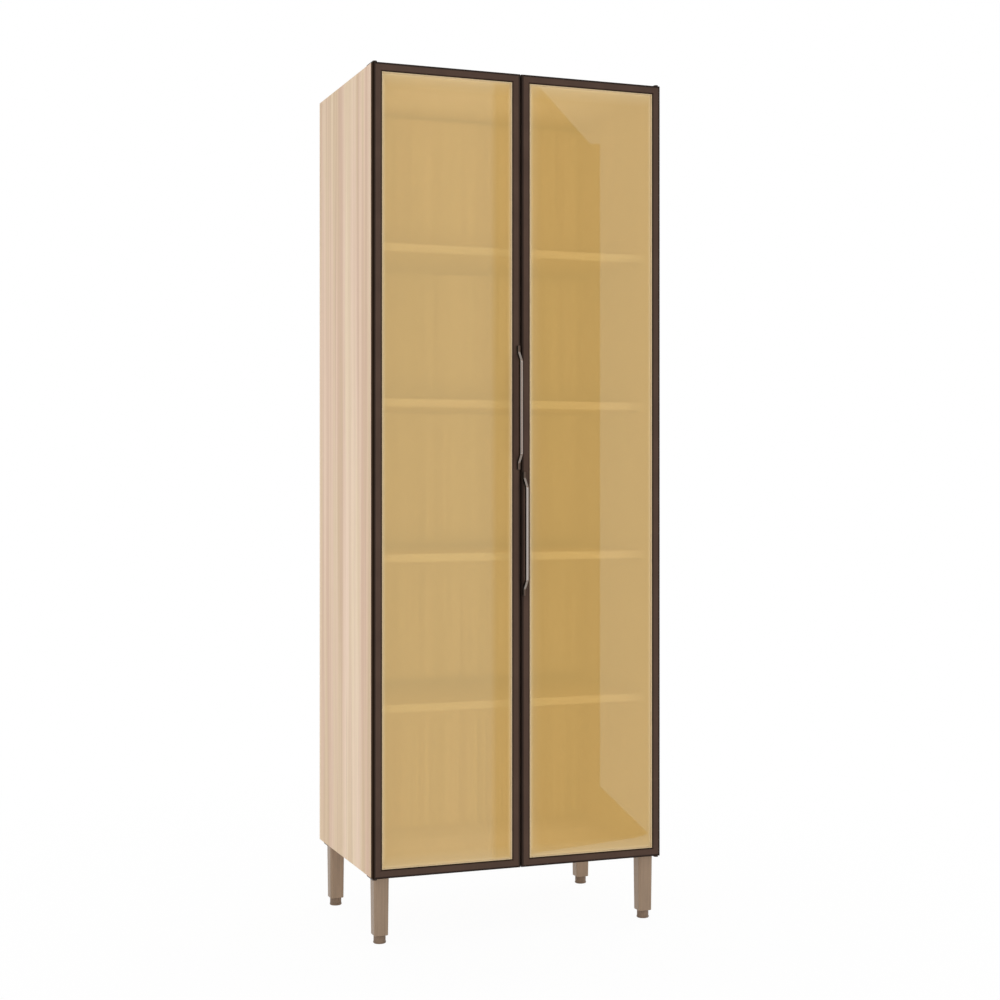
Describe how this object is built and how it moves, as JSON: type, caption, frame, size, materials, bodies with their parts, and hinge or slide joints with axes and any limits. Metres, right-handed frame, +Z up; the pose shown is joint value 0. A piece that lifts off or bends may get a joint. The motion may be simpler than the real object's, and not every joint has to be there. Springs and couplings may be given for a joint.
{
  "type": "glass-door bookcase",
  "caption": "Tall narrow bookcase in pale wood with two framed amber glass doors, adjustable shelves, bow handles and short legs with levelling feet.",
  "frame": {"origin": "on the floor, under the middle of the bookcase's overall box, handles included", "axes": "+Z up, +Y from the doors to the back, +X from the left door to the right door as seen from the front"},
  "size_m": [0.7, 0.49, 1.962],
  "materials": {
    "laminate": "matt wood-grain laminate",
    "frame": "satin dark brown",
    "glass": "amber tinted, clear",
    "gasket": "pale beige, matt",
    "handle": "dark bronze with a polished front",
    "leg": "champagne brown satin",
    "foot": "brown, matt",
    "steel": "zinc-plated",
    "nylon": "dark brown nylon",
    "cleat": "plain die-cast",
    "dowel": "plain beech",
    "catch": "brown, matt",
    "magnet": "plain ferrite",
    "bumper": "clear brown, soft"
  },
  "bodies": {
    "carcass": {"back_panel": "laminate", "bottom_panel": "laminate", "carcass_dowels": "dowel", "catch_housing": "catch", "catch_magnets": "magnet", "front_left_leg": "leg", "front_left_leg_plate": "steel", "front_right_leg": "leg", "front_right_leg_plate": "steel", "left_side_panel": "laminate", "leg_studs": "steel", "panel_screws": "steel", "pivot_pins": "steel", "rear_left_leg": "leg", "rear_left_leg_plate": "steel", "rear_right_leg": "leg", "rear_right_leg_plate": "steel", "right_side_panel": "laminate", "shelf_1": "laminate", "shelf_2": "laminate", "shelf_3": "laminate", "shelf_4": "laminate", "shelf_pins": "steel", "top_left_pivot_bracket": "steel", "top_panel": "laminate", "top_right_pivot_bracket": "steel"},
    "left_door": {"left_door_bottom_rail": "frame", "left_door_bumpers": "bumper", "left_door_corner_cleats": "cleat", "left_door_gasket": "gasket", "left_door_glass": "glass", "left_door_handle": "handle", "left_door_handle_screws": "steel", "left_door_hinge_stile": "frame", "left_door_meeting_stile": "frame", "left_door_pivot_bushes": "nylon", "left_door_strike_plate": "steel", "left_door_top_rail": "frame"},
    "right_door": {"right_door_bottom_rail": "frame", "right_door_bumpers": "bumper", "right_door_corner_cleats": "cleat", "right_door_gasket": "gasket", "right_door_glass": "glass", "right_door_handle": "handle", "right_door_handle_screws": "steel", "right_door_hinge_stile": "frame", "right_door_meeting_stile": "frame", "right_door_pivot_bushes": "nylon", "right_door_strike_plate": "steel", "right_door_top_rail": "frame"},
    "front_left_levelling_foot": {"front_left_levelling_foot": "foot"},
    "front_right_levelling_foot": {"front_right_levelling_foot": "foot"},
    "rear_left_levelling_foot": {"rear_left_levelling_foot": "foot"},
    "rear_right_levelling_foot": {"rear_right_levelling_foot": "foot"}
  },
  "joints": [
    {"name": "left_door_hinge", "type": "hinge", "parent": "carcass", "child": "left_door", "pos_m": [-0.344, -0.213, 1.055], "axis": [0, 0, -1], "range_deg": [0, 110]},
    {"name": "right_door_hinge", "type": "hinge", "parent": "carcass", "child": "right_door", "pos_m": [0.344, -0.213, 1.055], "axis": [0, 0, 1], "range_deg": [0, 110]},
    {"name": "front_left_levelling_foot_travel", "type": "slide", "parent": "carcass", "child": "front_left_levelling_foot", "axis": [0, 0, 1], "range_m": [-0.015, 0]},
    {"name": "front_right_levelling_foot_travel", "type": "slide", "parent": "carcass", "child": "front_right_levelling_foot", "axis": [0, 0, 1], "range_m": [-0.015, 0]},
    {"name": "rear_left_levelling_foot_travel", "type": "slide", "parent": "carcass", "child": "rear_left_levelling_foot", "axis": [0, 0, 1], "range_m": [-0.015, 0]},
    {"name": "rear_right_levelling_foot_travel", "type": "slide", "parent": "carcass", "child": "rear_right_levelling_foot", "axis": [0, 0, 1], "range_m": [-0.015, 0]}
  ]
}
